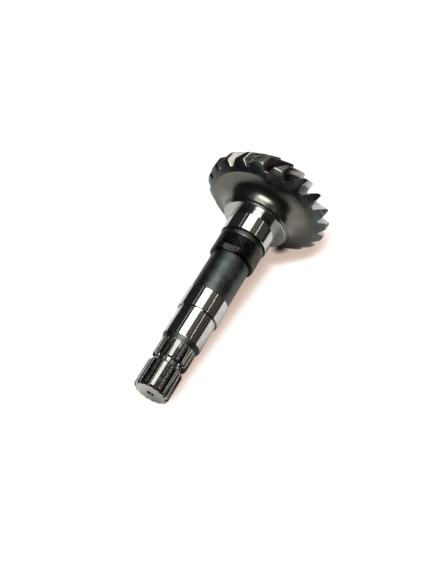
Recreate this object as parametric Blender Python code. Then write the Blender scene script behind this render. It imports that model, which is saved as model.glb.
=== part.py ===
"""Bevel gear shaft: a stepped steel shaft with a splined end, ground bearing journals, a
locknut thread and a spiral bevel gear, all one piece of steel. It lies as it comes to rest,
on two teeth and the edge of its splined end, with the shaft along +Y."""

import math

import bmesh
import bpy
from mathutils import Matrix

# Splined end (metres; stations are measured along the shaft from its splined face)
SPLINES = 15
SPLINE_D = 0.0349            # over the splines
SPLINE_ROOT_D = 0.0290       # across the groove floors
SPLINE_GAP = 0.0037          # groove width at the outside
SPLINE_FLOOR = 0.0019        # groove width at its floor
SPLINE_TURN = math.radians(4.2)
SPLINE_FULL = 0.0425         # full depth up to this station
SPLINE_RUNOUT = 0.0095       # the cutter leaves the steel over this length
END_CHAMFER = 0.0018
LOCK_GROOVE_AT = 0.0310      # middle of the round groove across the splines
LOCK_GROOVE_W = 0.0074
LOCK_GROOVE_D = 0.0294

# Turned lengths, one after the other
NECK = 0.0010                # plain ring after the splines
CONE = 0.0045                # rise to the first journal
JOURNAL_1_D, JOURNAL_1_L = 0.0387, 0.0305
JOURNAL_2_D, JOURNAL_2_L = 0.0424, 0.0225
BODY_D, BODY_L = 0.0402, 0.0455
THREAD_D, THREAD_L = 0.0466, 0.0245
UNDERCUT_D, UNDERCUT_L = 0.0440, 0.0020
JOURNAL_3_D, JOURNAL_3_L = 0.0492, 0.0242
EDGE = 0.0005                # chamfer on the journals' and the thread's ends
THREAD_PITCH = 0.0020
THREAD_DEPTH = 0.00115
THREAD_LEAD_IN = 0.0013      # chamfer before the first turn
COLLAR_L = 0.0032            # plain collar between the last turn and the undercut
FLAT_DEPTH = 0.0018          # staking flat at the start of the thread
FLAT_LENGTH = 0.0070
FLAT_TURN = math.radians(1.9)

# Gear
SHOULDER_D = 0.0668
SHOULDER_RIM = 0.0020        # straight rim of the shoulder before the web flares
WEB_CONE = 0.0015            # short cone between the rim and the flare
WEB_RISE = 0.0165            # from the rim to the back edge of the gear
TEETH = 19
HEEL_D = 0.1304              # over the big ends of the teeth
BACK_CONE = 0.0128           # slanted length from the web to the tooth tips
BACK_ANGLE = math.radians(37.4)
TOOTH_DEPTH = 0.0070         # at the big end, down the back cone
TOOTH_FLOOR = 0.0036         # width of the gap's floor at the big end
FLANK_ANGLE = math.radians(30.0)
FLANK_BULGE = math.radians(0.35)
CROWN = 0.0095               # length of the tooth tops that is turned down to a cylinder
FACE_WIDTH = 0.0288          # slanted length of the rest of a tooth
FACE_ANGLE = math.radians(48.0)
TOE_DEPTH = 0.0086           # tooth depth at the small end, down the front cone
TOE_ANGLE = math.radians(44.0)
TOE_LEAD = math.radians(27.2)    # how far the small end of a tooth runs ahead of its big end
LEAD_BOW = 0.27              # share of that lead which grows with the square of the distance
FRONT_LIP = 0.0040           # front cone below the tooth floors, down to the flat front face

# Centre holes in both ends
CENTRE_D = 0.0077
CENTRE_PILOT_D = 0.0032
CENTRE_DEPTH = 0.0090

ROUND_STEPS = 72
THREAD_STEPS = 48
CENTRE_STEPS = 24
ARC_STEPS = 6
CROWN_STEPS = 2
FACE_STEPS = 5


def point(radius, station, angle):
    """A point round the shaft: angle 0 is up, and +X comes next"""
    return (radius * math.sin(angle), station, radius * math.cos(angle))


def turned(bm, profile, steps):
    """Spin a profile of (radius, station) pairs round the shaft's axis"""
    verts = [bm.verts.new(point(r, y, 0.0)) for r, y in profile]
    edges = [bm.edges.new(pair) for pair in zip(verts, verts[1:])]
    bmesh.ops.spin(bm, geom=verts + edges, cent=(0, 0, 0), axis=(0, 1, 0), dvec=(0, 0, 0),
                   angle=math.tau, steps=steps, use_merge=True, use_duplicate=False)


def wrapped(bm, rows, columns, place):
    """Wrap a grid round the axis: place(row, column) gives radius, station and angle"""
    grid = bmesh.ops.create_grid(bm, x_segments=columns, y_segments=rows - 1, size=0.5)
    for vert in grid["verts"]:
        row = round((vert.co.y + 0.5) * (rows - 1))
        column = round((vert.co.x + 0.5) * columns)
        vert.co = point(*place(row, column))
    bmesh.ops.remove_doubles(bm, verts=grid["verts"], dist=1e-6)


def join_rims(bm, *stations):
    """Close the gap between the open rims in these planes: two rims in one plane get a flat
    face between them, and rims in two planes get a cone"""
    def in_plane(vert):
        return any(abs(vert.co.y - station) < 1e-5 for station in stations)
    rims = [e for e in bm.edges if e.is_boundary and all(in_plane(v) for v in e.verts)]
    if len(stations) == 1:
        bmesh.ops.triangle_fill(bm, edges=rims, normal=(0, 1, 0), use_beauty=True)
    else:
        bmesh.ops.bridge_loops(bm, edges=rims)


# Splined end
spline_r = SPLINE_D / 2
spline_end = SPLINE_FULL + SPLINE_RUNOUT
half_gap = SPLINE_GAP / SPLINE_D
half_floor = SPLINE_FLOOR / SPLINE_ROOT_D
groove_stations = [LOCK_GROOVE_AT + LOCK_GROOVE_W / 2 * math.sin(math.radians(a))
                   for a in (-90, -70, -35, 35, 70, 90)]
runout_stations = [SPLINE_FULL + SPLINE_RUNOUT * part for part in (0.0, 0.35, 0.65, 0.85, 1.0)]
spline_stations = [0.0, END_CHAMFER] + groove_stations + runout_stations


def spline_blank(station):
    """Outer radius of the turned blank under the splines"""
    if station < END_CHAMFER:
        return spline_r - (END_CHAMFER - station)
    across = (station - LOCK_GROOVE_AT) / (LOCK_GROOVE_W / 2)
    if abs(across) < 1:
        return spline_r - (spline_r - LOCK_GROOVE_D / 2) * math.sqrt(1 - across * across)
    return spline_r


def spline_point(row, column):
    """Columns 0 to 5 of each spline: floor middle, floor edge, land edge, land middle, ..."""
    station = spline_stations[row]
    blank = spline_blank(station)
    out = max(0.0, (station - SPLINE_FULL) / SPLINE_RUNOUT)
    floor = SPLINE_ROOT_D / 2 + (spline_r - SPLINE_ROOT_D / 2) * out * out
    floor = min(floor, blank)
    pitch = math.tau / SPLINES
    narrow = math.sqrt(max(0.0, 1.0 - out)) * 0.8 + 0.2
    low = half_floor * narrow
    high = low + (half_gap - half_floor) * (spline_r - floor) / (spline_r - SPLINE_ROOT_D / 2)
    high = max(high, low * 1.3)
    turn, kind = divmod(column, 6)
    angle = (0.0, low, high, pitch / 2, pitch - high, pitch - low)[kind]
    radius = (floor, floor, blank, blank, blank, floor)[kind]
    return radius, station, SPLINE_TURN + turn * pitch + angle


# Stations of the turned lengths
cone_start = spline_end + NECK
journal_1_at = cone_start + CONE
journal_2_at = journal_1_at + JOURNAL_1_L
body_at = journal_2_at + JOURNAL_2_L
thread_at = body_at + BODY_L
undercut_at = thread_at + THREAD_L
collar_at = undercut_at - COLLAR_L
journal_3_at = undercut_at + UNDERCUT_L
shoulder_at = journal_3_at + JOURNAL_3_L
web_at = shoulder_at + SHOULDER_RIM

# Locknut thread: three rows a turn, for both edges of the crest and the bottom of the groove
thread_r = THREAD_D / 2
thread_rows = math.ceil(3 * ((collar_at - thread_at) / THREAD_PITCH + 1) + 0.5)


def thread_point(row, column):
    """Rows follow the helix and stop at the planes of its two ends. The last two rows run
    round the far end of the plain collar."""
    angle = math.tau * column / THREAD_STEPS
    if row > thread_rows:
        last = row - thread_rows - 1
        return thread_r - EDGE * last, undercut_at - EDGE * (1 - last), angle
    climb = (row - 0.5) / 3 - 1 + column / THREAD_STEPS
    station = min(max(thread_at + THREAD_PITCH * climb, thread_at), collar_at)
    turn = ((station - thread_at) / THREAD_PITCH - column / THREAD_STEPS) % 1.0
    groove = max(0.0, 1 - 3 * abs(turn - 0.5))
    fade = min((collar_at - station) / THREAD_PITCH, 1.0)
    lead_in = thread_r - THREAD_LEAD_IN + (station - thread_at)
    return min(thread_r - THREAD_DEPTH * groove * fade, lead_in), station, angle


# Gear
heel_r = HEEL_D / 2
back_at = web_at + WEB_RISE
heel_at = back_at + BACK_CONE * math.sin(BACK_ANGLE)
back_r = heel_r - BACK_CONE * math.cos(BACK_ANGLE)
toe_r = heel_r - FACE_WIDTH * math.sin(FACE_ANGLE)
toe_at = heel_at + CROWN + FACE_WIDTH * math.cos(FACE_ANGLE)


def back_cone(depth):
    """Radius and station on the back cone, this far below the tooth tips"""
    return heel_r - depth * math.cos(BACK_ANGLE), heel_at - depth * math.sin(BACK_ANGLE)


def front_cone(depth):
    """Radius and station on the front cone, this far below the tooth tips"""
    return toe_r - depth * math.cos(TOE_ANGLE), toe_at - depth * math.sin(TOE_ANGLE)


root_r, root_at = back_cone(TOOTH_DEPTH)
under_r, under_at = back_cone((TOOTH_DEPTH + BACK_CONE) / 2)
toe_root_r, toe_root_at = front_cone(TOE_DEPTH)
front_r, front_at = front_cone(TOE_DEPTH + FRONT_LIP)
floor_half = TOOTH_FLOOR / (2 * root_r)


def gap_half(depth, low_r, high_r):
    """Half of the gap's angle at the tooth tips"""
    return (floor_half * low_r + depth * math.tan(FLANK_ANGLE)) / high_r


def tooth_point(row, column):
    """Columns 0 to 7 of each tooth: gap floor, its edge, flank, tip, land middle, and back.
    The first row runs round below the teeth and the last one round the front face."""
    pitch = math.tau / TEETH
    turn, kind = divmod(column, 8)
    step = min(max(row - 1, 0), CROWN_STEPS + FACE_STEPS)
    crown = CROWN * min(step / CROWN_STEPS, 1.0)
    slant = FACE_WIDTH * max(step - CROWN_STEPS, 0) / FACE_STEPS
    along = (crown + slant) / (CROWN + FACE_WIDTH)
    low_r = root_r + (toe_root_r - root_r) * along
    low_at = root_at + (toe_root_at - root_at) * along
    high_r = heel_r - slant * math.sin(FACE_ANGLE)
    high_at = heel_at + crown + slant * math.cos(FACE_ANGLE)
    tip = gap_half(math.hypot(high_r - low_r, high_at - low_at), low_r, high_r)
    middle = (tip + floor_half) / 2 - FLANK_BULGE
    angle = (0.0, floor_half, middle, tip, pitch / 2,
             pitch - tip, pitch - middle, pitch - floor_half)[kind]
    height = (0.0, 0.0, 0.5, 1.0, 1.0, 1.0, 0.5, 0.0)[kind]
    lead = TOE_LEAD * along * (1 - LEAD_BOW + LEAD_BOW * along)
    angle += turn * pitch + pitch / 2 + lead
    if row == 0:
        return under_r, under_at, angle
    if row == CROWN_STEPS + FACE_STEPS + 2:
        return front_r, front_at, angle
    return low_r + (high_r - low_r) * height, low_at + (high_at - low_at) * height, angle


def centre_hole(mouth_at, inward):
    """Profile of a centre hole: a 60 degree cone, a pilot and the drill's point"""
    cone = (CENTRE_D - CENTRE_PILOT_D) / 2 / math.tan(math.radians(30))
    tip = CENTRE_PILOT_D / 2 / math.tan(math.radians(59))
    return [(CENTRE_D / 2, mouth_at), (CENTRE_PILOT_D / 2, mouth_at + inward * cone),
            (CENTRE_PILOT_D / 2, mouth_at + inward * (cone + CENTRE_DEPTH)),
            (0.0, mouth_at + inward * (cone + CENTRE_DEPTH + tip))]


def journal(diameter, start, length):
    """A cylinder with a small chamfer at both ends"""
    r = diameter / 2
    return [(r - EDGE, start), (r, start + EDGE), (r, start + length - EDGE),
            (r - EDGE, start + length)]


def web():
    """A short cone behind the shoulder's rim, then the flare out to the back of the gear"""
    start_r, start_at = SHOULDER_D / 2 + WEB_CONE, web_at + WEB_CONE
    angles = [math.pi / 2 * step / ARC_STEPS for step in range(ARC_STEPS + 1)]
    return [(SHOULDER_D / 2, web_at)] + [
        (start_r + (back_r - start_r) * (1 - math.cos(a)),
         start_at + (back_at - start_at) * math.sin(a)) for a in angles]


for old in list(bpy.data.objects):
    bpy.data.objects.remove(old, do_unlink=True)

bm = bmesh.new()
turned(bm, centre_hole(0.0, 1), CENTRE_STEPS)
wrapped(bm, len(spline_stations), 6 * SPLINES, spline_point)
turned(bm, [(spline_r, cone_start), (JOURNAL_1_D / 2, journal_1_at),
            (JOURNAL_1_D / 2, journal_2_at)]
       + journal(JOURNAL_2_D, journal_2_at, JOURNAL_2_L)
       + [(BODY_D / 2, body_at), (BODY_D / 2, thread_at)], ROUND_STEPS)
wrapped(bm, thread_rows + 3, THREAD_STEPS, thread_point)
turned(bm, [(UNDERCUT_D / 2, undercut_at), (UNDERCUT_D / 2, journal_3_at),
            (JOURNAL_3_D / 2 - EDGE, journal_3_at), (JOURNAL_3_D / 2, journal_3_at + EDGE),
            (JOURNAL_3_D / 2, shoulder_at), (SHOULDER_D / 2 - EDGE, shoulder_at),
            (SHOULDER_D / 2, shoulder_at + EDGE)]
       + web(), ROUND_STEPS)
wrapped(bm, CROWN_STEPS + FACE_STEPS + 3, 8 * TEETH, tooth_point)
turned(bm, centre_hole(front_at, -1), CENTRE_STEPS)

join_rims(bm, 0.0)
join_rims(bm, spline_end, cone_start)
join_rims(bm, thread_at)
join_rims(bm, undercut_at)
join_rims(bm, back_at, under_at)
join_rims(bm, front_at)
bmesh.ops.remove_doubles(bm, verts=bm.verts[:], dist=1e-7)
bmesh.ops.recalc_face_normals(bm, faces=bm.faces[:])

# The shaft leans towards its splined end, down from the two lowest teeth
heel_gap = gap_half(TOOTH_DEPTH, root_r, heel_r)
tilt = math.atan2(heel_r * math.cos(heel_gap) - spline_r, heel_at - END_CHAMFER)
lean = Matrix.Rotation(tilt, 3, "X")
placed = [lean @ vert.co for vert in bm.verts]
low, high = ([pick(p[axis] for p in placed) for axis in range(3)] for pick in (min, max))

mesh = bpy.data.meshes.new("bevel_gear_shaft")
bm.to_mesh(mesh)
bm.free()
mesh.shade_smooth()
mesh.set_sharp_from_angle(angle=math.radians(25))
shaft = bpy.data.objects.new("bevel_gear_shaft", mesh)
shaft.rotation_euler = (tilt, 0.0, 0.0)
shaft.location = (-(low[0] + high[0]) / 2, -(low[1] + high[1]) / 2, -low[2])
bpy.context.collection.objects.link(shaft)

# Staking flat at the start of the thread, where a locknut's collar is pressed in
bm = bmesh.new()
box = (THREAD_D, 2 * FLAT_LENGTH, 2 * FLAT_DEPTH)
seat = (0.0, thread_at, THREAD_D / 2)
bmesh.ops.create_cube(bm, size=1.0, matrix=Matrix.Rotation(FLAT_TURN, 4, "Y")
                      @ Matrix.Translation(seat) @ Matrix.Diagonal((*box, 1.0)))
cutter_mesh = bpy.data.meshes.new("staking_flat_cutter")
bm.to_mesh(cutter_mesh)
bm.free()
cutter = bpy.data.objects.new("staking_flat_cutter", cutter_mesh)
cutter.parent = shaft
cutter.hide_render = True
cutter.display_type = "WIRE"
bpy.context.collection.objects.link(cutter)
cut = shaft.modifiers.new("staking flat", "BOOLEAN")
cut.operation = "DIFFERENCE"
cut.solver = "EXACT"
cut.object = cutter

# Bare machined steel
steel = bpy.data.materials.new("machined alloy steel")
steel.use_nodes = True
look = steel.node_tree.nodes["Principled BSDF"]
look.inputs["Base Color"].default_value = (0.33, 0.32, 0.29, 1.0)
look.inputs["Metallic"].default_value = 1.0
look.inputs["Roughness"].default_value = 0.32
mesh.materials.append(steel)
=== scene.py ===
"""Bevel gear shaft lying on a pale table under an overhead softbox."""

import math

import bmesh
import bpy
from mathutils import Matrix, Vector


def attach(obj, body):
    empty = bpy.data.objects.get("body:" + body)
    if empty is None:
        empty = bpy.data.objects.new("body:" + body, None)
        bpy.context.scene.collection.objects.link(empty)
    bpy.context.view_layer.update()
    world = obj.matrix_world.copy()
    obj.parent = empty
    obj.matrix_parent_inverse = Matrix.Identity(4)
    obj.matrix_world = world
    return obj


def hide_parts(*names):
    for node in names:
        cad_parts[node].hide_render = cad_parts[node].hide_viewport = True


MM = 0.001

# Sizes of the real shaft in millimetres, stations counted from its splined face. A TURN and a
# LEAD are angles round the shaft, and _AT is the station where a length starts.
EDGE = 0.5                                           # broken edge of a turned shoulder
CENTRE_R, CENTRE_ANGLE, CENTRE_DEEP = 3.85, math.radians(30), 12.0
PILOT_R, PILOT_DEPTH, DRILL_ANGLE = 1.6, 9.0, math.radians(59)

SPLINES = 15
SPLINE_R, SPLINE_ROOT_R = 17.45, 14.5
SPLINE_HALF_GAP, SPLINE_HALF_FLOOR = 0.1060, 0.0655  # radians at the outside and at the floor
SPLINE_ROUND, SPLINE_ROUND_TURN = 0.18, 0.012        # rounded edge: its drop, and in radians
SPLINE_TURN = math.radians(4.2)
SPLINE_FULL, SPLINE_END = 42.5, 52.0                 # the run-out lies between these
END_CHAMFER = 1.8
LOCK_AT, LOCK_HALF, LOCK_R = 31.0, 3.7, 14.7         # middle of the round groove across them

CONE_AT, JOURNAL_1_AT, JOURNAL_2_AT, BODY_AT = 53.0, 57.5, 88.0, 110.5
JOURNAL_1_R, JOURNAL_2_R, BODY_R = 19.35, 21.2, 20.1
RELIEF_1, RELIEF_3 = 0.2, 0.25                       # depth of the grinding reliefs

THREAD_AT, COLLAR_AT, UNDERCUT_AT, JOURNAL_3_AT = 156.0, 177.3, 180.5, 182.5
THREAD_R, THREAD_PITCH, THREAD_DEPTH, UNDERCUT_R = 23.3, 2.0, 1.15, 22.0
THREAD_CHAMFER, COLLAR_CHAMFER, THREAD_RUN_OUT = 1.3, 0.4, 1.5
GROOVE_TOP, GROOVE_SLOPE = 1.15, 2.6                 # a groove's section over one turn's width
FLAT_DEPTH, FLAT_LENGTH, FLAT_TURN = 1.8, 7.0, math.radians(1.9)
FLAT_REACH = 1.2                                     # radians either side, past its ends

SHOULDER_AT, WEB_AT, WEB_CONE, BACK_AT = 206.7, 208.7, 1.5, 225.2
JOURNAL_3_R, SHOULDER_R = 24.6, 33.4

TEETH = 19
HEEL_R = 65.2
BACK_CONE, BACK_ANGLE = 12.8, math.radians(37.4)
TOOTH_DEPTH, TOOTH_FLOOR, UNDER_TEETH = 7.0, 3.6, 1.2
FLANK_ANGLE, FLANK_BULGE = math.radians(30.0), math.radians(0.35)
CROWN, FACE_WIDTH, FACE_ANGLE = 9.5, 28.8, math.radians(48.0)
TOE_DEPTH, TOE_ANGLE = 8.6, math.radians(44.0)
TOE_LEAD, LEAD_BOW = math.radians(27.2), 0.27
FRONT_LIP = 4.0
HEEL_EDGE, TOOTH_EDGE = 0.8, 0.2                     # filed and broken edges of the teeth

# Steps of the mesh
ROUND_STEPS, HOLE_STEPS, WEB_STEPS = 144, 48, 28
SPLINE_COLUMNS, TOOTH_COLUMNS = 12, 16               # round one spline and one tooth
THREAD_STEPS, THREAD_ROWS = 192, 8                   # round one turn and across its width
CROWN_STEPS, FACE_STEPS = 4, 14

SHARP_ANGLE, SMOOTH_ANGLE = math.radians(32), math.radians(35)
NEAR = 0.05                                          # counts as on a plane or cone, in mm

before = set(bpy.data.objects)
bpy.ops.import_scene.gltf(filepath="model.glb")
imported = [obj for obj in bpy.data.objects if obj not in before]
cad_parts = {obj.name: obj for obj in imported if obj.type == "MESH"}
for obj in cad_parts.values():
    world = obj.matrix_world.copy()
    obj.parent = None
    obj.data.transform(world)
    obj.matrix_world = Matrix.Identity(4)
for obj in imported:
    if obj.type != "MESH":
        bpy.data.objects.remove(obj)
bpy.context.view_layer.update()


def point(radius, station, angle):
    """A point in the shaft's own frame in metres: angle 0 is up, then +X"""
    return (radius * math.sin(angle) * MM, station * MM, radius * math.cos(angle) * MM)


def turned(bm, profile, steps):
    """Spin (radius, station) pairs round the shaft's axis"""
    verts = [bm.verts.new(point(r, y, 0.0)) for r, y in profile]
    edges = [bm.edges.new(pair) for pair in zip(verts, verts[1:])]
    bmesh.ops.spin(bm, geom=verts + edges, cent=(0, 0, 0), axis=(0, 1, 0), dvec=(0, 0, 0),
                   angle=math.tau, steps=steps, use_merge=True, use_duplicate=False)


def wrapped(bm, rows, columns, place):
    """Wrap a grid round the axis: place(row, column) gives radius, station and angle"""
    grid = bmesh.ops.create_grid(bm, x_segments=columns, y_segments=rows - 1, size=0.5)
    for vert in grid["verts"]:
        row = round((vert.co.y + 0.5) * (rows - 1))
        column = round((vert.co.x + 0.5) * columns)
        vert.co = point(*place(row, column))
    bmesh.ops.remove_doubles(bm, verts=grid["verts"], dist=2e-6)


def join_rims(bm, *stations):
    """Close the gap between the open rims in these planes: two rims in one plane get a flat
    face between them, and rims in two planes get a cone"""
    def in_plane(vert):
        return any(abs(vert.co.y - station * MM) < 2e-6 for station in stations)
    rims = [e for e in bm.edges if e.is_boundary and all(in_plane(v) for v in e.verts)]
    if len(stations) == 1:
        bmesh.ops.triangle_fill(bm, edges=rims, normal=(0, 1, 0), use_beauty=True)
    else:
        bmesh.ops.bridge_loops(bm, edges=rims)


def spaced(start, stop, count):
    return [start + (stop - start) * i / count for i in range(count + 1)]


# Splined end, with its rows closer together over the lock groove and along the run-out
spline_stations = ([0.0, END_CHAMFER] + spaced(3.0, 26.0, 4)
                   + [LOCK_AT + LOCK_HALF * math.sin(math.radians(a)) for a in range(-90, 91, 12)]
                   + spaced(36.0, SPLINE_FULL, 2) + spaced(SPLINE_FULL + 0.6, SPLINE_END, 18))


def spline_blank(station):
    """Radius of the splined end before its splines were hobbed"""
    if station < END_CHAMFER:
        return SPLINE_R - (END_CHAMFER - station)
    across = (station - LOCK_AT) / LOCK_HALF
    if abs(across) < 1:
        return SPLINE_R - (SPLINE_R - LOCK_R) * math.sqrt(1 - across * across)
    return SPLINE_R


def spline_point(row, column):
    """Round one spline: groove floor, curved flank, rounded edge, land, and back the same way.
    Past the full length the hob lifts out, so the floor rises and narrows."""
    station = spline_stations[row]
    blank = spline_blank(station)
    out = min(max(0.0, (station - SPLINE_FULL) / (SPLINE_END - SPLINE_FULL)), 1.0)
    floor = min(SPLINE_ROOT_R + (SPLINE_R - SPLINE_ROOT_R) * out * out, blank)
    pitch = math.tau / SPLINES
    # Half angles of the gap at its floor (low) and at the outside (high)
    low = SPLINE_HALF_FLOOR * (math.sqrt(1.0 - out) * 0.8 + 0.2)
    left = (SPLINE_R - floor) / (SPLINE_R - SPLINE_ROOT_R)
    high = max(low + (SPLINE_HALF_GAP - SPLINE_HALF_FLOOR) * left, low * 1.3)
    edge = high + SPLINE_ROUND_TURN
    drop = min(SPLINE_ROUND, blank - floor)
    half = (0.0, low, low * 0.55 + high * 0.45, high, edge, (edge + pitch / 2) / 2, pitch / 2)
    radii = (floor, floor, (floor + blank) / 2, blank - drop, blank, blank, blank)
    turn, kind = divmod(column, SPLINE_COLUMNS)
    mirror = kind > SPLINE_COLUMNS // 2
    kind = SPLINE_COLUMNS - kind if mirror else kind
    angle = pitch - half[kind] if mirror else half[kind]
    return radii[kind], station, SPLINE_TURN + turn * pitch + angle


# Locknut thread
thread_rows = round((UNDERCUT_AT - THREAD_AT) / THREAD_PITCH * THREAD_ROWS) + THREAD_ROWS


def thread_point(row, column):
    """Rows follow the helix and stop at both end planes. The grooves fade out at the collar,
    both ends are chamfered, and a flat is milled at the start."""
    angle = math.tau * column / THREAD_STEPS
    rise = THREAD_PITCH * (row / THREAD_ROWS - 1 + column / THREAD_STEPS)
    station = min(max(THREAD_AT + rise, THREAD_AT), UNDERCUT_AT)
    turn = ((station - THREAD_AT) / THREAD_PITCH - column / THREAD_STEPS) % 1.0
    groove = min(max(GROOVE_TOP - abs(turn - 0.5) * GROOVE_SLOPE, 0.0), 1.0)
    fade = min(max((COLLAR_AT - station) / THREAD_RUN_OUT, 0.0), 1.0)
    radius = min(THREAD_R - THREAD_DEPTH * groove * fade,
                 THREAD_R - THREAD_CHAMFER + (station - THREAD_AT),
                 THREAD_R - COLLAR_CHAMFER + (UNDERCUT_AT - station))
    if station < THREAD_AT + FLAT_LENGTH:
        off = (angle - FLAT_TURN + math.pi) % math.tau - math.pi
        if abs(off) < FLAT_REACH:
            radius = min(radius, (THREAD_R - FLAT_DEPTH) / math.cos(off))
    return radius, station, angle


# Gear: the heel is the big end of the teeth, next to the back cone, and the toe the small end
HEEL_AT = BACK_AT + BACK_CONE * math.sin(BACK_ANGLE)
BACK_R = HEEL_R - BACK_CONE * math.cos(BACK_ANGLE)
TOE_R = HEEL_R - FACE_WIDTH * math.sin(FACE_ANGLE)
TOE_AT = HEEL_AT + CROWN + FACE_WIDTH * math.cos(FACE_ANGLE)


def back_cone(depth):
    """Radius and station on the back cone, this far below the tooth tips"""
    return HEEL_R - depth * math.cos(BACK_ANGLE), HEEL_AT - depth * math.sin(BACK_ANGLE)


def front_cone(depth):
    """Radius and station on the front cone, this far below the tooth tips"""
    return TOE_R - depth * math.cos(TOE_ANGLE), TOE_AT - depth * math.sin(TOE_ANGLE)


root_r, root_at = back_cone(TOOTH_DEPTH)
under_r, under_at = back_cone(TOOTH_DEPTH + UNDER_TEETH)
toe_root_r, toe_root_at = front_cone(TOE_DEPTH)
front_r, front_at = front_cone(TOE_DEPTH + FRONT_LIP)
floor_half = TOOTH_FLOOR / (2 * root_r)


def gap_half(depth, low_r, high_r):
    """Half of the gap's angle at the tooth tips"""
    return (floor_half * low_r + depth * math.tan(FLANK_ANGLE)) / high_r


def flank(height, tip):
    """Half of the gap's angle at a height from its floor (0) to the tips (1)"""
    return floor_half + (tip - floor_half) * height - FLANK_BULGE * 4 * height * (1 - height)


tooth_heights = [0.0, 0.0, 0.18, 0.36, 0.56, 0.78, 1.0, 1.0, 1.0]


def tooth_point(row, column):
    """Round one tooth: gap floor, flank, tip, land, and back the same way. The first row runs
    round below the teeth and the last one round the front face."""
    pitch = math.tau / TEETH
    land = TOOTH_COLUMNS // 2
    turn, kind = divmod(column, TOOTH_COLUMNS)
    mirror = kind > land
    kind = TOOTH_COLUMNS - kind if mirror else kind
    height = tooth_heights[kind]
    step = min(max(row - 1, 0), CROWN_STEPS + FACE_STEPS)
    crown = CROWN * min(step / CROWN_STEPS, 1.0)
    slant = FACE_WIDTH * max(step - CROWN_STEPS, 0) / FACE_STEPS
    along = (crown + slant) / (CROWN + FACE_WIDTH)
    low_r = root_r + (toe_root_r - root_r) * along
    low_at = root_at + (toe_root_at - root_at) * along
    high_r = HEEL_R - slant * math.sin(FACE_ANGLE)
    high_at = HEEL_AT + crown + slant * math.cos(FACE_ANGLE)
    tip = gap_half(math.hypot(high_r - low_r, high_at - low_at), low_r, high_r)
    half = (0.0 if kind == 0 else pitch / 2 if kind == land
            else (tip + pitch / 2) / 2 if kind == land - 1 else flank(height, tip))
    lead = TOE_LEAD * along * (1 - LEAD_BOW + LEAD_BOW * along)
    angle = (pitch - half if mirror else half) + turn * pitch + pitch / 2 + lead
    if row == 0:
        return under_r, under_at, angle
    if row == CROWN_STEPS + FACE_STEPS + 2:
        return front_r, front_at, angle
    return low_r + (high_r - low_r) * height, low_at + (high_at - low_at) * height, angle


def centre_hole(mouth_at, inward):
    """A lathe centre: a cone, a pilot hole and the drill's tip. inward is 1 or -1."""
    cone = (CENTRE_R - PILOT_R) / math.tan(CENTRE_ANGLE)
    tip = PILOT_R / math.tan(DRILL_ANGLE)
    return [(CENTRE_R, mouth_at), (PILOT_R, mouth_at + inward * cone),
            (PILOT_R, mouth_at + inward * (cone + PILOT_DEPTH)),
            (0.0, mouth_at + inward * (cone + PILOT_DEPTH + tip))]


def web(steps):
    """A short cone behind the shoulder's rim, then the flare out to the back of the gear"""
    start_r, start_at = SHOULDER_R + WEB_CONE, WEB_AT + WEB_CONE
    return [(SHOULDER_R, WEB_AT)] + [
        (start_r + (BACK_R - start_r) * (1 - math.cos(a)),
         start_at + (BACK_AT - start_at) * math.sin(a))
        for a in spaced(0.0, math.pi / 2, steps)]


# The whole shaft from its splined end to the gear's front. The small steps in the turned
# profiles are chamfers and grinding reliefs.
bm = bmesh.new()
turned(bm, centre_hole(0.0, 1), HOLE_STEPS)
wrapped(bm, len(spline_stations), SPLINE_COLUMNS * SPLINES, spline_point)
turned(bm, [(SPLINE_R, CONE_AT), (JOURNAL_1_R - 0.15, JOURNAL_1_AT - 0.2),
            (JOURNAL_1_R, JOURNAL_1_AT + 0.3), (JOURNAL_1_R, JOURNAL_2_AT - 0.6),
            (JOURNAL_1_R - RELIEF_1, JOURNAL_2_AT - 0.4), (JOURNAL_1_R - RELIEF_1, JOURNAL_2_AT),
            (JOURNAL_2_R - EDGE, JOURNAL_2_AT), (JOURNAL_2_R, JOURNAL_2_AT + EDGE),
            (JOURNAL_2_R, BODY_AT - EDGE), (JOURNAL_2_R - EDGE, BODY_AT),
            (BODY_R, BODY_AT + 0.3), (BODY_R, THREAD_AT)], ROUND_STEPS)
wrapped(bm, thread_rows + 1, THREAD_STEPS, thread_point)
turned(bm, [(UNDERCUT_R, UNDERCUT_AT), (UNDERCUT_R, JOURNAL_3_AT),
            (JOURNAL_3_R - EDGE, JOURNAL_3_AT), (JOURNAL_3_R, JOURNAL_3_AT + EDGE),
            (JOURNAL_3_R, SHOULDER_AT - 1.2), (JOURNAL_3_R - RELIEF_3, SHOULDER_AT - 0.9),
            (JOURNAL_3_R - RELIEF_3, SHOULDER_AT), (SHOULDER_R - EDGE, SHOULDER_AT),
            (SHOULDER_R, SHOULDER_AT + EDGE)]
       + web(WEB_STEPS), ROUND_STEPS)
wrapped(bm, CROWN_STEPS + FACE_STEPS + 3, TOOTH_COLUMNS * TEETH, tooth_point)
turned(bm, centre_hole(front_at, -1), HOLE_STEPS)

join_rims(bm, 0.0)
join_rims(bm, SPLINE_END, CONE_AT)
join_rims(bm, THREAD_AT)
join_rims(bm, UNDERCUT_AT)
join_rims(bm, BACK_AT, under_at)
join_rims(bm, front_at)
bmesh.ops.remove_doubles(bm, verts=bm.verts[:], dist=1e-7)
bmesh.ops.recalc_face_normals(bm, faces=bm.faces[:])


def off_heel(co):
    """How far a point lies in front of the back cone, in mm along the shaft"""
    radius = math.hypot(co.x, co.z) / MM
    return co.y / MM - HEEL_AT - (radius - HEEL_R) * math.tan(BACK_ANGLE)


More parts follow.
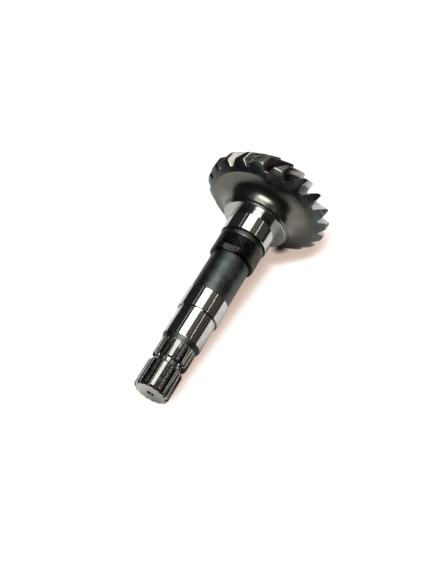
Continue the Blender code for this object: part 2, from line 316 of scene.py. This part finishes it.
def break_edges(bm, size, chosen):
    """Bevel the sharp edges of the teeth whose two ends chosen picks"""
    def on_tooth(vert):
        return vert.co.y > (under_at + 0.5) * MM and chosen(off_heel(vert.co))
    sharp = [e for e in bm.edges if len(e.link_faces) == 2 and all(on_tooth(v) for v in e.verts)
             and e.calc_face_angle() > SHARP_ANGLE]
    bmesh.ops.bevel(bm, geom=sharp, offset=size * MM, offset_type="OFFSET", segments=1,
                    profile=0.5, affect="EDGES", material=-1, clamp_overlap=True)


# The big ends of the teeth have a filed edge, and the other tooth edges are only broken
break_edges(bm, HEEL_EDGE, lambda off: abs(off) < NEAR)
break_edges(bm, TOOTH_EDGE, lambda off: off > 1.5)

# The finishes, in the order of the shaft's material slots
GROUND, DARK, TURNED, THREAD, FLANK, HOBBED, WEB, LAND = range(8)


def tooth_finish(face):
    """Dark heels and tops as forged and turned, bright flanks and edges as cut"""
    if all(abs(off_heel(v.co)) < NEAR for v in face.verts):
        return DARK
    centre = face.calc_center_median()
    round_it = Vector((centre.z, 0.0, -centre.x)).normalized()
    filed = abs(off_heel(centre)) < 1.0
    return FLANK if filed or abs(face.normal.dot(round_it)) > 0.45 else DARK


def finish_of(face):
    """Which finish a face of the shaft has. Its centre is judged, which lies a little inside
    a curved surface, so most limits have a margin."""
    centre = face.calc_center_median()
    station, radius = centre.y / MM, math.hypot(centre.x, centre.z) / MM
    if station < CENTRE_DEEP and radius < CENTRE_R:
        return DARK
    if station < NEAR:
        return TURNED
    if station < SPLINE_END:
        return LAND if radius > spline_blank(station) - 0.1 else HOBBED
    if station < JOURNAL_1_AT:
        return DARK
    if station < BODY_AT or JOURNAL_3_AT + 0.01 < station < SHOULDER_AT - 0.1:
        return GROUND
    if THREAD_AT < station < COLLAR_AT - 0.3:
        flat_way = Vector((math.sin(FLAT_TURN), 0.0, math.cos(FLAT_TURN)))
        on_flat = station < THREAD_AT + FLAT_LENGTH and face.normal.dot(flat_way) > 0.999
        return DARK if on_flat else THREAD
    if abs(station - SHOULDER_AT) < 0.4:
        return TURNED
    if SHOULDER_AT < station < BACK_AT + 0.1 and radius < BACK_R + 0.1:
        return WEB
    if station > root_at and radius > front_r:
        return tooth_finish(face)
    return TURNED if abs(station - front_at) < NEAR else DARK


bm.normal_update()
for face in bm.faces:
    face.material_index = finish_of(face)

# Lay the shaft down as the solid lies, on two heels and the edge of its splined end. foot is
# where the centre of its splined face comes to lie, in metres.
heel_gap = gap_half(TOOTH_DEPTH, root_r, HEEL_R)
tilt = math.atan2(HEEL_R * math.cos(heel_gap) - SPLINE_R, HEEL_AT - END_CHAMFER)
lean = Matrix.Rotation(tilt, 4, "X")
foot = Vector((0.0, -0.131029, 0.016731))
bmesh.ops.transform(bm, matrix=Matrix.Translation(foot) @ lean, verts=bm.verts[:])
mesh = bpy.data.meshes.new("forged_bevel_gear_shaft")
bm.to_mesh(mesh)
bm.free()
mesh.shade_smooth()
mesh.set_sharp_from_angle(angle=SMOOTH_ANGLE)
shaft = bpy.data.objects.new("forged_bevel_gear_shaft", mesh)
bpy.context.collection.objects.link(shaft)
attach(shaft, "root")
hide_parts("bevel_gear_shaft")


def linear(hex_code):
    """An sRGB hex colour as the linear values that Blender works in"""
    values = [int(hex_code[i:i + 2], 16) / 255 for i in (1, 3, 5)]
    return [v / 12.92 if v <= 0.04045 else ((v + 0.055) / 1.055) ** 2.4 for v in values] + [1.0]


def feed(node, inputs):
    """Set a node's inputs by name or number. A socket is linked, a node stands for its first
    output, and anything else is the input's own value."""
    for name, value in inputs.items():
        if isinstance(value, bpy.types.Node):
            value = value.outputs[0]
        if isinstance(value, bpy.types.NodeSocket):
            node.id_data.links.new(value, node.inputs[name])
        else:
            node.inputs[name].default_value = value


def add(tree, kind, inputs=None, **settings):
    """Add a node with its settings, and feed its inputs"""
    made = tree.nodes.new(kind)
    for name, value in settings.items():
        setattr(made, name, value)
    feed(made, inputs or {})
    return made


def colours(ramp, *stops):
    """Give a colour ramp these (position, hex colour) stops"""
    first, last = ramp.color_ramp.elements
    (first.position, low), *between, (last.position, high) = stops
    first.color, last.color = linear(low), linear(high)
    for position, hex_code in between:
        ramp.color_ramp.elements.new(position).color = linear(hex_code)
    return ramp


def metal(name, low, high, rough, spread, patch_mm, line_mm=None, bump=0.0, anisotropic=0.0,
          facing=False, crest=None):
    """Bare steel. low and high are the colours it drifts between in patches of patch_mm, and
    its roughness drifts by spread with them. The tool's lines are line_mm apart and run round
    the shaft, or in circles over a facing. Below the radius crest, in mm, its colour is painted
    darker towards the groove floors, a painted shade in the grooves."""
    made = bpy.data.materials.new(name)
    made.use_nodes = True
    tree = made.node_tree
    shader = tree.nodes["Principled BSDF"]
    place = add(tree, "ShaderNodeTexCoord").outputs["Object"]
    own = add(tree, "ShaderNodeMapping", {"Vector": place, "Location": foot,
                                          "Rotation": (tilt, 0.0, 0.0)}, vector_type="TEXTURE")
    parts = add(tree, "ShaderNodeSeparateXYZ", {"Vector": own})
    flat = add(tree, "ShaderNodeCombineXYZ", {"X": parts.outputs["X"], "Z": parts.outputs["Z"]})
    radius = add(tree, "ShaderNodeVectorMath", {0: flat}, operation="LENGTH").outputs["Value"]
    patch = add(tree, "ShaderNodeTexNoise", {"Vector": own, "Scale": 1 / (patch_mm * MM),
                                             "Detail": 4.0, "Roughness": 0.6})
    colour = colours(add(tree, "ShaderNodeValToRGB", {"Fac": patch}), (0.35, low), (0.65, high))
    # Painted shade in the grooves: the colour darkens from the crest down to the groove floor
    if crest:
        painted_groove_shade = add(tree, "ShaderNodeMapRange", {"Value": radius, "From Min": (crest - 0.5) * MM,
                                                 "From Max": (crest - 0.02) * MM,
                                                 "To Min": 0.04, "To Max": 1.0})
        colour = add(tree, "ShaderNodeVectorMath", {0: colour, "Scale": painted_groove_shade},
                     operation="SCALE")
    dull = add(tree, "ShaderNodeMapRange", {"Value": patch, "From Min": 0.3, "From Max": 0.7,
                                            "To Min": rough - spread, "To Max": rough + spread})
    feed(shader, {"Metallic": 1.0, "Anisotropic": anisotropic, "Base Color": colour,
                  "Roughness": dull})
    if anisotropic:
        axis = lean.to_3x3() @ Vector((0.0, 1.0, 0.0))
        arm = add(tree, "ShaderNodeVectorMath", {0: place, 1: foot}, operation="SUBTRACT")
        round_it = add(tree, "ShaderNodeVectorMath", {0: axis, 1: arm},
                       operation="CROSS_PRODUCT")
        feed(shader, {"Tangent": round_it, "Anisotropic Rotation": 0.25})
    if bump:
        lines = add(tree, "ShaderNodeTexNoise", {"W": radius if facing else parts.outputs["Y"],
                                                 "Scale": 1 / (line_mm * MM), "Detail": 2.0},
                    noise_dimensions="1D")
        raised = add(tree, "ShaderNodeBump", {"Height": lines, "Strength": bump,
                                              "Distance": 0.02 * MM})
        feed(shader, {"Normal": raised})
    return made


# Alloy steel in eight finishes. Real grinding and turning lines are 0.02 to 0.2 mm apart, too
# fine for the render, so they are drawn 0.5 mm apart or more.
finishes = (
    # Ground after hardening: pale and nearly a mirror, with sharp, clean reflections
    metal("ground_bearing_steel", "#aeaeab", "#bbbbb7", rough=0.10, spread=0.015,
          patch_mm=12.0, line_mm=0.6, bump=0.03),
    # Quenched and left alone: a dark, faintly green skin with a broad, soft shine
    metal("quenched_forging_steel", "#393e3c", "#525752", rough=0.42, spread=0.05,
          patch_mm=9.0, line_mm=1.2, bump=0.2),
    # Turned across the end: bright, and its fine circles pull the shine into a fan
    metal("face_turned_steel", "#a9a8a5", "#b6b5b2", rough=0.19, spread=0.03,
          patch_mm=6.0, line_mm=0.5, bump=0.2, anisotropic=0.5, facing=True),
    # Cut thread: grey crests that catch the light, over grooves painted black as shade
    metal("thread_steel_painted_groove_shade", "#6b6c69", "#8b8984", rough=0.30, spread=0.05,
          patch_mm=5.0, crest=THREAD_R),
    # Tooth flanks as cut: a warm grey satin with a narrow shine
    metal("cut_tooth_steel", "#6e6b66", "#86837e", rough=0.22, spread=0.05, patch_mm=5.0),
    # Hobbed grooves of the splines: darker than the lands, and satin
    metal("hobbed_steel", "#53524f", "#6a6864", rough=0.24, spread=0.04, patch_mm=4.0),
    # Turned web: brown-grey satin with one long, soft highlight
    metal("turned_web_steel", "#605f59", "#6d6b65", rough=0.25, spread=0.03,
          patch_mm=10.0, line_mm=0.8, bump=0.1),
    # Lands of the splines: mid grey, worn a little brighter than their grooves
    metal("milled_land_steel", "#82817c", "#94938f", rough=0.24, spread=0.04,
          patch_mm=4.0, line_mm=0.5, bump=0.1))
for finish in finishes:
    mesh.materials.append(finish)

# Table of pale paper, white to the camera everywhere. The steel mirrors only part of it, and the
# shadow on it is painted, shaped by masks and by the steel's ambient occlusion. The places and
# distances on it are in metres.
RIGHT, TO_GEAR, TO_SPLINES = (1.0, 0.0, 0.0), (0.0, 1.0, 0.0), (0.0, -1.0, 0.0)
PAPER_CENTRE, SPLINED_FOOT = (-0.2, 0.16, 0.0), (-0.01, -0.14, 0.0)
# TOUCH_DOWN is the centre of the painted dark spot of shadow where the teeth touch down
TOUCH_DOWN = (0.008, 0.110, 0.0)
# Painted shadow: how dark its soft band and its patch under the gear get, how far the steel's
# ambient occlusion reaches, and how quickly the painted shade fades
SHADOW_SHARE, GEAR_SHADOW_SHARE = 0.75, 0.8     # how dark the soft band gets, and the gear's patch
SHADOW_REACH, SHADOW_FALL = 0.07, 2.5    # how far the steel shades it, and how fast that fades
UNSEEN_GLOW = 0.03                       # for the rays that neither see nor mirror it

bm = bmesh.new()
bmesh.ops.create_grid(bm, x_segments=1, y_segments=1, size=4.0)
table_mesh = bpy.data.meshes.new("pale_table")
bm.to_mesh(table_mesh)
bm.free()
table = bpy.data.objects.new("pale_table", table_mesh)
table.location = (0.0, 0.0, -0.0003)
bpy.context.collection.objects.link(table)
paper = bpy.data.materials.new("pale_table")
paper.use_nodes = True
table_mesh.materials.append(paper)
tree = paper.node_tree
on_table = add(tree, "ShaderNodeTexCoord").outputs["Object"]
rays = add(tree, "ShaderNodeLightPath").outputs


def fade(start, stop, way=None, centre=None, blend="SMOOTHSTEP"):
    """1 up to start and 0 past stop, counted along a way across the table or from a centre"""
    far = add(tree, "ShaderNodeVectorMath", {0: on_table, 1: way or centre},
              operation="DOT_PRODUCT" if way else "DISTANCE")
    return add(tree, "ShaderNodeMapRange", {"Value": far.outputs["Value"], "From Min": start,
                                            "From Max": stop, "To Min": 1.0, "To Max": 0.0},
               interpolation_type=blend)


# The mirrored paper ends just outside the photograph, in front and on the right
front_end = fade(0.17, 0.25, way=(-0.30, -0.954, 0.0))
right_end = fade(0.24, 0.34, way=(0.938, 0.346, 0.0))
paper_end = add(tree, "ShaderNodeMath", {0: front_end, 1: right_end}, operation="MINIMUM")
sheet = add(tree, "ShaderNodeMath", {0: fade(0.70, 1.15, centre=PAPER_CENTRE), 1: paper_end},
            operation="MULTIPLY")
# A painted shade, kept from the camera, darkens the paper in the steel's reflections beside the
# shaft's front half, on the right, except close to the splined end
off_shaft = add(tree, "ShaderNodeMath",
                {0: 1.0, 1: fade(-0.095, -0.020, way=(0.914, -0.406, 0.0))},
                operation="SUBTRACT")
painted_shade_beside = add(tree, "ShaderNodeMath", {0: fade(-0.095, -0.030, way=TO_GEAR), 1: off_shaft},
           operation="MULTIPLY")
outside_painted_shade = add(tree, "ShaderNodeMath", {0: 1.0, 1: painted_shade_beside}, operation="SUBTRACT")
pale = add(tree, "ShaderNodeMath",
           {0: fade(0.03, 0.06, centre=SPLINED_FOOT, blend="LINEAR"), 1: outside_painted_shade},
           operation="MAXIMUM")
mirrored = add(tree, "ShaderNodeMath", {0: sheet, 1: pale}, operation="MULTIPLY")
reach = add(tree, "ShaderNodeMath", {0: mirrored, 1: rays["Is Camera Ray"]},
            operation="MAXIMUM")

# The shadow is painted. Left of the shaft the paper glows evenly, so no shadow shows there. On
# its right the painted shadow lies as a soft band, a wider patch under the gear and the dark spot
# where the teeth touch down.
left_side = fade(-0.03, 0.01, way=RIGHT)
right_side = add(tree, "ShaderNodeMath", {0: 1.0, 1: left_side}, operation="SUBTRACT")
under_gear = add(tree, "ShaderNodeMath", {0: fade(-0.061, -0.044, way=(0.667, -0.745, 0.0)),
                                          1: fade(0.036, 0.060, way=RIGHT)},
                 operation="MULTIPLY")
patch = add(tree, "ShaderNodeMath", {0: under_gear, 1: GEAR_SHADOW_SHARE}, operation="MULTIPLY")
painted_shadow_band = add(tree, "ShaderNodeMath", {0: fade(-0.003, 0.024, way=RIGHT), 1: patch},
           operation="MAXIMUM")
soft = add(tree, "ShaderNodeMath", {0: painted_shadow_band, 1: SHADOW_SHARE}, operation="MULTIPLY")
painted_shadow_depth = add(tree, "ShaderNodeMath", {0: soft, 1: fade(0.0, 0.028, centre=TOUCH_DOWN)},
              operation="MAXIMUM")
along = add(tree, "ShaderNodeMath", {0: fade(0.105, 0.135, way=TO_SPLINES),
                                     1: fade(0.13, 0.17, way=TO_GEAR)}, operation="MULTIPLY")
beside = add(tree, "ShaderNodeMath", {0: right_side, 1: along}, operation="MULTIPLY")
shaded = add(tree, "ShaderNodeMath", {0: beside, 1: painted_shadow_depth}, operation="MULTIPLY")
unshaded = add(tree, "ShaderNodeMath", {0: 1.0, 1: shaded}, operation="SUBTRACT")

# The paper's own colour is painted black left of the shaft and in the painted shadow, so the
# lamps light it only on the right, outside that shadow
outside_painted_shadow = add(tree, "ShaderNodeMath", {0: right_side, 1: unshaded}, operation="MULTIPLY")
paper_colour_share = add(tree, "ShaderNodeMath", {0: reach, 1: outside_painted_shadow}, operation="MULTIPLY")
ground = colours(add(tree, "ShaderNodeValToRGB", {"Fac": paper_colour_share}), (0.0, "#000000"),
                 (1.0, "#726f6c"))

# Its glow is painted darker where the steel closes it in, after the steel's ambient occlusion: to
# a warm painted shadow for the camera, and to a plain grey painted shade for the steel
openness = add(tree, "ShaderNodeAmbientOcclusion", {"Distance": SHADOW_REACH},
               samples=16).outputs["AO"]
fallen = add(tree, "ShaderNodeMath", {0: openness, 1: SHADOW_FALL}, operation="POWER")
seen_open = add(tree, "ShaderNodeMath", {0: fallen, 1: unshaded}, operation="MAXIMUM")
painted_shadow_warm = colours(add(tree, "ShaderNodeValToRGB", {"Fac": seen_open}), (0.02, "#0c0805"),
               (0.38, "#c6b1a4"), (0.62, "#dcc6bb"), (0.80, "#f0e3dd"), (1.0, "#ffffff"))
mirrored_open = add(tree, "ShaderNodeMath", {0: openness, 1: left_side}, operation="MAXIMUM")
painted_shade_grey = colours(add(tree, "ShaderNodeValToRGB", {"Fac": mirrored_open}), (0.22, "#080808"),
                (0.55, "#96928e"), (0.88, "#ffffff"))
glow_with_painted_shade = add(tree, "ShaderNodeMix", {0: rays["Is Camera Ray"], 6: painted_shade_grey, 7: painted_shadow_warm},
           data_type="RGBA").outputs[2]
looked_at = add(tree, "ShaderNodeMath", {0: rays["Is Camera Ray"], 1: rays["Is Glossy Ray"]},
                operation="MAXIMUM")
shown = add(tree, "ShaderNodeMath", {0: looked_at, 1: reach}, operation="MULTIPLY")
strength = add(tree, "ShaderNodeMath", {0: shown, 1: UNSEEN_GLOW}, operation="MAXIMUM")
feed(tree.nodes["Principled BSDF"], {"Base Color": ground, "Roughness": 0.9,
                                     "Specular IOR Level": 0.0, "Emission Color": glow_with_painted_shade,
                                     "Emission Strength": strength})


def softbox(name, place, along, towards, size, radiance, colour="#ffffff"):
    """A flat lamp: the first side of its size lies along one direction, and it shines towards
    another. radiance is how bright it looks in the steel."""
    lamp = bpy.data.lights.new(name, "AREA")
    lamp.shape = "RECTANGLE"
    lamp.size, lamp.size_y = size
    lamp.energy = radiance * size[0] * size[1] * math.pi
    lamp.color = linear(colour)[:3]
    made = bpy.data.objects.new(name, lamp)
    back = -Vector(towards).normalized()
    right = (Vector(along) - back * back.dot(Vector(along))).normalized()
    made.location = place
    made.rotation_euler = Matrix((right, back.cross(right), back)).transposed().to_euler()
    bpy.context.collection.objects.link(made)


# An overhead box with its front end turned in, a warm fall-off right of it, a grey strip left
# of it, and a slit of window on the right
ALONG, ACROSS, DOWN = (0, 1, 0), (1, 0, 0), (0, 0, -1)
softbox("overhead_softbox", (0.098, 0.12, 1.5), ALONG, DOWN, (2.6, 0.917), 3.4)
softbox("front_softbox", (0.36, -0.95, 1.5), ACROSS, (-0.3, 0.6, -1), (1.05, 0.8), 8.0)
softbox("warm_ceiling", (1.00, 0.12, 1.5), ALONG, DOWN, (2.85, 0.75), 0.17, "#f6dfc6")
softbox("warm_wall", (1.75, 0.5, 0.75), ALONG, (-1, 0, 0), (2.85, 1.4), 0.065, "#ffebc7")
softbox("left_strip", (-0.76, 0.12, 1.5), ALONG, (0.4, 0, -1), (2.85, 0.06), 1.1)
softbox("right_slit", (1.5, 0.75, 1.296), (0, 0.99, 0.13), (-0.79, -0.37, -0.6), (2.6, 0.035),
        5.5)

# The room is dark grey in the steel, and white behind the table for the camera
world = bpy.data.worlds.new("dim_studio")
world.use_nodes = True
room_rays = add(world.node_tree, "ShaderNodeLightPath").outputs
room = add(world.node_tree, "ShaderNodeMix", {0: room_rays["Is Camera Ray"],
                                              6: linear("#313334"), 7: linear("#ffffff")},
           data_type="RGBA").outputs[2]
feed(world.node_tree.nodes["Background"], {"Color": room})
bpy.context.scene.world = world

# Camera as it was fitted to the photograph, in metres and degrees
lens = bpy.data.cameras.new("camera")
lens.lens = 63.05
lens.sensor_width = 36.0
lens.clip_end = 20.0
camera = bpy.data.objects.new("camera", lens)
camera.location = (0.36673, -0.5844, 0.70531)
camera.rotation_euler = [math.radians(a) for a in (45.845, 3.317, 29.383)]
bpy.context.collection.objects.link(camera)
bpy.context.scene.camera = camera
bpy.context.scene.view_settings.view_transform = "Standard"
